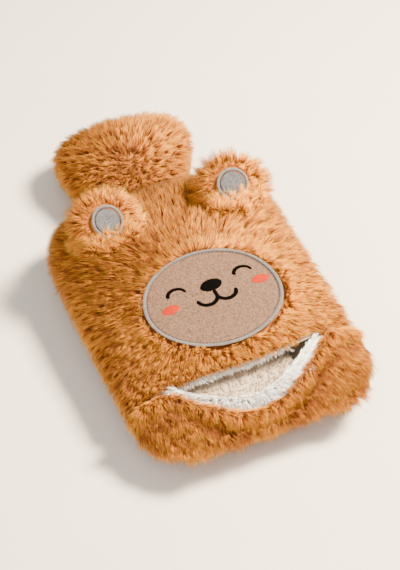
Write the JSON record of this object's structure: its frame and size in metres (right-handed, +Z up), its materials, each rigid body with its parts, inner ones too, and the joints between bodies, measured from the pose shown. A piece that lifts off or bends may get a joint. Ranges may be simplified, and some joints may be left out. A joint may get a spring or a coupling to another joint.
{
  "type": "plush hot water bottle cover",
  "caption": "Furry cover for a hot water bottle, with round ears, a smiling bear's face on a suede patch, a hood for the neck and a smile-shaped slot lined in white plush.",
  "frame": {"origin": "on the surface that the cover lies on, under the middle of its bounding box", "axes": "+Z up, out of the face; +Y from the slot towards the hood; +X to the right seen face on with the hood up"},
  "size_m": [0.214, 0.3867, 0.1034],
  "materials": {
    "ginger_fur": "long soft plush pile, dark at the roots and light at the tips",
    "white_plush": "curly white sherpa pile",
    "taupe_suede": "short brushed suede cloth",
    "grey_suede": "short brushed suede cloth",
    "grey_satin": "satin binding with a dark running stitch",
    "black_thread": "satin-stitch embroidery",
    "coral_thread": "satin-stitch embroidery"
  },
  "bodies": {
    "root": {"back_panel": "ginger_fur", "front_panel": "ginger_fur", "pocket_panel": "ginger_fur", "neck_hood": "ginger_fur", "ear_left": "ginger_fur", "ear_right": "ginger_fur", "lining_pocket": "white_plush", "lining_front": "white_plush", "pocket_back": "white_plush", "lining_back": "white_plush", "face_patch": "taupe_suede", "inner_ear_left": "grey_suede", "inner_ear_right": "grey_suede", "face_trim": "grey_satin", "ear_trim_left": "grey_satin", "ear_trim_right": "grey_satin", "eye_left": "black_thread", "eye_right": "black_thread", "nose": "black_thread", "mouth": "black_thread", "cheek_left": "coral_thread", "cheek_right": "coral_thread"}
  },
  "joints": []
}
